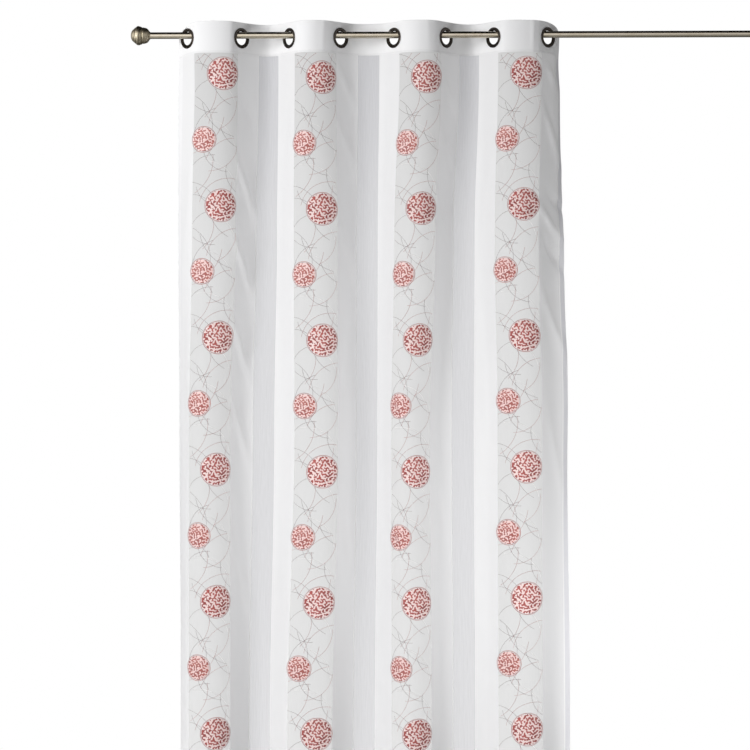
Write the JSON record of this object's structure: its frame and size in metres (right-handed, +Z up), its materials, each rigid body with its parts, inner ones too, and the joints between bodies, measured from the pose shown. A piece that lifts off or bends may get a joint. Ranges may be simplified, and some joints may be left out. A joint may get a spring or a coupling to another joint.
{
  "type": "voile curtain and rod",
  "caption": "Sheer striped voile curtain with a stiffened eyelet heading, hanging in upright folds on a round metal rod with turned finials.",
  "frame": {"origin": "on the rod's axis at the middle of its length, where the wall brackets that are left out hold it level", "axes": "+X along the rod to the right as seen from the front, +Y to the wall behind, +Z up; the curtain hangs down from the rod"},
  "size_m": [1.9684, 0.1156, 2.4],
  "materials": {
    "voile": "sheer voile with satin stripes and coral embroidery",
    "heading": "stiffened doubled cloth, matt white",
    "eyelet_metal": "dark polished plating",
    "rod_metal": "brushed antique plating"
  },
  "bodies": {
    "root": {"voile_panel": "voile", "heading_band": "heading", "eyelet_1": "eyelet_metal", "eyelet_2": "eyelet_metal", "eyelet_3": "eyelet_metal", "eyelet_4": "eyelet_metal", "eyelet_5": "eyelet_metal", "eyelet_6": "eyelet_metal", "eyelet_7": "eyelet_metal", "eyelet_8": "eyelet_metal", "rod": "rod_metal", "finial_left": "rod_metal", "finial_right": "rod_metal"}
  },
  "joints": []
}
